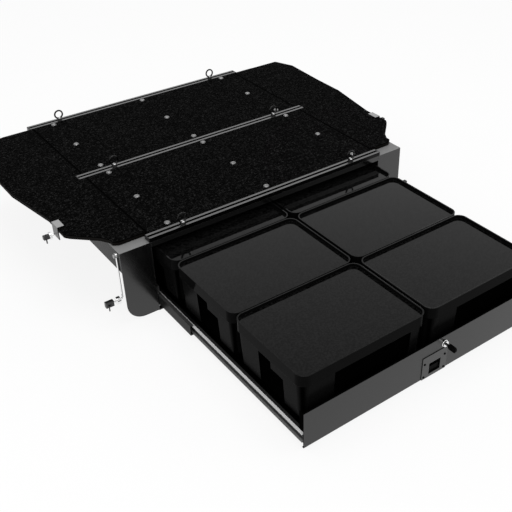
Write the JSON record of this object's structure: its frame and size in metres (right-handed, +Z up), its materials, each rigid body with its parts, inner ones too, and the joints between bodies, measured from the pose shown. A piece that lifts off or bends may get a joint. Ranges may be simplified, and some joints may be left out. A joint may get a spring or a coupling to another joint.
{
  "type": "vehicle drawer system",
  "caption": "Steel load-area drawer unit for a vehicle: one wide drawer on telescopic slides with lidded boxes, under a carpeted deck with tie-down tracks and side wings.",
  "frame": {"origin": "centre of the carcass's underside, on the load floor", "axes": "+X to the right facing the drawer, the drawer opens towards -Y, +Z up"},
  "size_m": [1.4018, 1.751, 0.314],
  "materials": {
    "black_steel": "satin black powder coat",
    "grey_steel": "satin grey powder coat",
    "board": "plywood, edges painted",
    "carpet": "short loop pile",
    "black_bolts": "black oxide, worn bright",
    "steel": "zinc plated",
    "aluminium": "dark anodised, satin",
    "slide_steel": "bright zinc",
    "black_rubber": "matt",
    "chrome": "polished",
    "black_plastic": "fine texture",
    "box_plastic": "fine moulded texture",
    "lid_plastic": "fine moulded texture with a sheen"
  },
  "bodies": {
    "carcass": {"base_pan": "black_steel", "side_panels": "black_steel", "back_panel": "black_steel", "cross_rails": "black_steel", "deck_boards": "board", "deck_carpets": "carpet", "deck_bolts": "black_bolts", "track_end_caps": "steel", "track_front": "aluminium", "track_middle": "aluminium", "track_rear": "aluminium", "wing_boards": "board", "wing_carpets": "carpet", "wing_supports": "grey_steel", "facias": "black_steel", "wing_clips": "grey_steel", "slide_outers": "slide_steel", "slide_bumpers": "black_rubber", "latch_keeper": "steel", "stay_bolts": "black_bolts", "clamp_studs": "chrome"},
    "slide_middle": {"slide_middles": "slide_steel"},
    "cage_outer": {"slide_cage_outer": "slide_steel"},
    "cage_inner": {"slide_cage_inner": "slide_steel"},
    "drawer": {"drawer_tray": "black_steel", "drawer_front": "black_steel", "slide_inners": "slide_steel", "box_front_left": "box_plastic", "box_front_right": "box_plastic", "box_middle_left": "box_plastic", "box_middle_right": "box_plastic", "box_rear_left": "box_plastic", "box_rear_right": "box_plastic", "lid_front_left": "lid_plastic", "lid_front_right": "lid_plastic", "lid_middle_left": "lid_plastic", "lid_middle_right": "lid_plastic", "lid_rear_left": "lid_plastic", "lid_rear_right": "lid_plastic", "latch_plate": "black_steel", "latch_screws": "black_bolts", "paddle_pin": "steel", "lock_barrel": "chrome"},
    "latch_paddle": {"latch_paddle": "black_steel"},
    "latch_bolt": {"latch_bolt": "steel"},
    "lock_key": {"lock_cylinder": "chrome", "lock_key": "black_plastic"},
    "eye_front_left": {"eye_nut_front_left": "black_bolts"},
    "eye_front_right": {"eye_nut_front_right": "black_bolts"},
    "eye_middle_left": {"eye_nut_middle_left": "black_bolts"},
    "eye_middle_right": {"eye_nut_middle_right": "black_bolts"},
    "eye_rear_left": {"eye_nut_rear_left": "black_bolts"},
    "eye_rear_right": {"eye_nut_rear_right": "black_bolts"},
    "stay_left": {"stay_rod_left": "chrome", "stay_knob_left": "black_plastic"},
    "clamp_left": {"clamp_knob_left": "black_plastic"},
    "stay_right": {"stay_rod_right": "chrome", "stay_knob_right": "black_plastic"},
    "clamp_right": {"clamp_knob_right": "black_plastic"}
  },
  "joints": [
    {"name": "drawer_slide", "type": "slide", "parent": "carcass", "child": "drawer", "axis": [0, 1, 0], "range_m": [0, 0.74]},
    {"name": "middle_member_slide", "type": "slide", "parent": "carcass", "child": "slide_middle", "axis": [0, 1, 0], "range_m": [0, 0.37]},
    {"name": "outer_cage_slide", "type": "slide", "parent": "carcass", "child": "cage_outer", "axis": [0, 1, 0], "range_m": [0, 0.185]},
    {"name": "inner_cage_slide", "type": "slide", "parent": "carcass", "child": "cage_inner", "axis": [0, 1, 0], "range_m": [0, 0.555]},
    {"name": "paddle_hinge", "type": "hinge", "parent": "drawer", "child": "latch_paddle", "pos_m": [0.0265, -1.212, 0.019], "axis": [1, 0, 0], "range_deg": [0, 30]},
    {"name": "latch_bolt_slide", "type": "slide", "parent": "drawer", "child": "latch_bolt", "axis": [0, 0, 1], "range_m": [0, 0.005], "stiffness_N_per_m": 400, "springref_m": -0.01},
    {"name": "lock_turn", "type": "hinge", "parent": "drawer", "child": "lock_key", "pos_m": [0.051, -1.219, 0.111], "axis": [0, -1, 0], "range_deg": [0, 90]},
    {"name": "eye_front_left_slide", "type": "slide", "parent": "carcass", "child": "eye_front_left", "axis": [1, 0, 0], "range_m": [-0.09, 0.28]},
    {"name": "eye_front_right_slide", "type": "slide", "parent": "carcass", "child": "eye_front_right", "axis": [1, 0, 0], "range_m": [-0.28, 0.09]},
    {"name": "eye_middle_left_slide", "type": "slide", "parent": "carcass", "child": "eye_middle_left", "axis": [1, 0, 0], "range_m": [-0.09, 0.28]},
    {"name": "eye_middle_right_slide", "type": "slide", "parent": "carcass", "child": "eye_middle_right", "axis": [1, 0, 0], "range_m": [-0.28, 0.09]},
    {"name": "eye_rear_left_slide", "type": "slide", "parent": "carcass", "child": "eye_rear_left", "axis": [1, 0, 0], "range_m": [-0.09, 0.28]},
    {"name": "eye_rear_right_slide", "type": "slide", "parent": "carcass", "child": "eye_rear_right", "axis": [1, 0, 0], "range_m": [-0.28, 0.09]},
    {"name": "stay_left_swing", "type": "hinge", "parent": "carcass", "child": "stay_left", "pos_m": [-0.562, -0.46, 0.246], "axis": [1, 0, 0], "range_deg": [-20, 80]},
    {"name": "clamp_left_turn", "type": "hinge", "parent": "carcass", "child": "clamp_left", "pos_m": [-0.67356, -0.23699, 0.244], "axis": [1, 0, 0], "range_deg": [-90, 90]},
    {"name": "stay_right_swing", "type": "hinge", "parent": "carcass", "child": "stay_right", "pos_m": [0.562, -0.46, 0.246], "axis": [1, 0, 0], "range_deg": [-20, 80]},
    {"name": "clamp_right_turn", "type": "hinge", "parent": "carcass", "child": "clamp_right", "pos_m": [0.67356, -0.23699, 0.244], "axis": [1, 0, 0], "range_deg": [-90, 90]}
  ],
  "couplings": [
    {"joint": "middle_member_slide", "follows": "drawer_slide", "ratio": 0.5},
    {"joint": "outer_cage_slide", "follows": "drawer_slide", "ratio": 0.25},
    {"joint": "inner_cage_slide", "follows": "drawer_slide", "ratio": 0.75},
    {"joint": "paddle_hinge", "follows": "latch_bolt_slide", "rad_per_m": 104.72}
  ]
}
